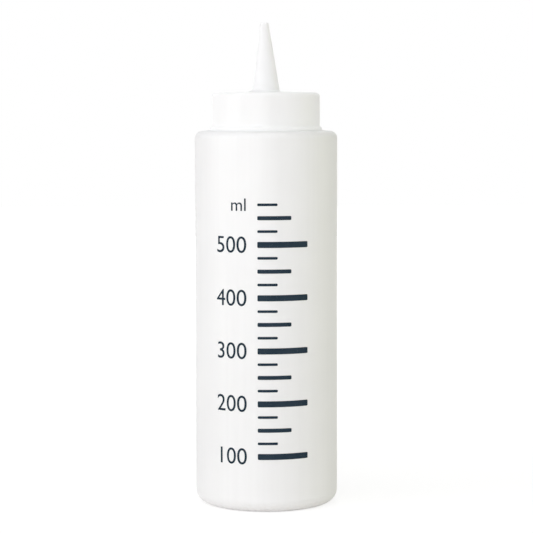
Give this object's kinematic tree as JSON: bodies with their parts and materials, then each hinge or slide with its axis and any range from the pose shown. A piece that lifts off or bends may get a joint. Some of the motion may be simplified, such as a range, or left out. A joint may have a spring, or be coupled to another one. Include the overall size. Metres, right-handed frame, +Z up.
{
  "type": "squeeze bottle",
  "caption": "Round white squeeze bottle with a smooth screw cap and a captive cone nozzle, for squirting sauces and other thick liquids.",
  "frame": {"origin": "centre of the flat foot ring that the bottle stands on", "axes": "+Z up along the bottle's axis towards the nozzle's tip, -Y towards the viewer of the picture, +X to the viewer's right"},
  "size_m": [0.072, 0.072, 0.2437],
  "materials": {
    "bottle_plastic": "satin white low-density polyethylene, slightly translucent",
    "cap_plastic": "smooth satin white, opaque",
    "nozzle_plastic": "satin white, slightly translucent",
    "gasket_foam": "soft pale grey sealing foam"
  },
  "bodies": {
    "bottle": {"bottle": "bottle_plastic"},
    "nozzle": {"nozzle": "nozzle_plastic", "lip_gasket": "gasket_foam"},
    "cap": {"screw_cap": "cap_plastic"}
  },
  "joints": [
    {"name": "closure_lift", "type": "slide", "parent": "bottle", "child": "nozzle", "axis": [0, 0, 1], "range_m": [0, 0.01694]},
    {"name": "cap_turn", "type": "hinge", "parent": "nozzle", "child": "cap", "pos_m": [0, 0, 0.199], "axis": [0, 0, 1], "range_deg": [0, 1440]}
  ],
  "couplings": [
    {"joint": "closure_lift", "follows": "cap_turn", "m_per_rad": 0.0006737}
  ]
}
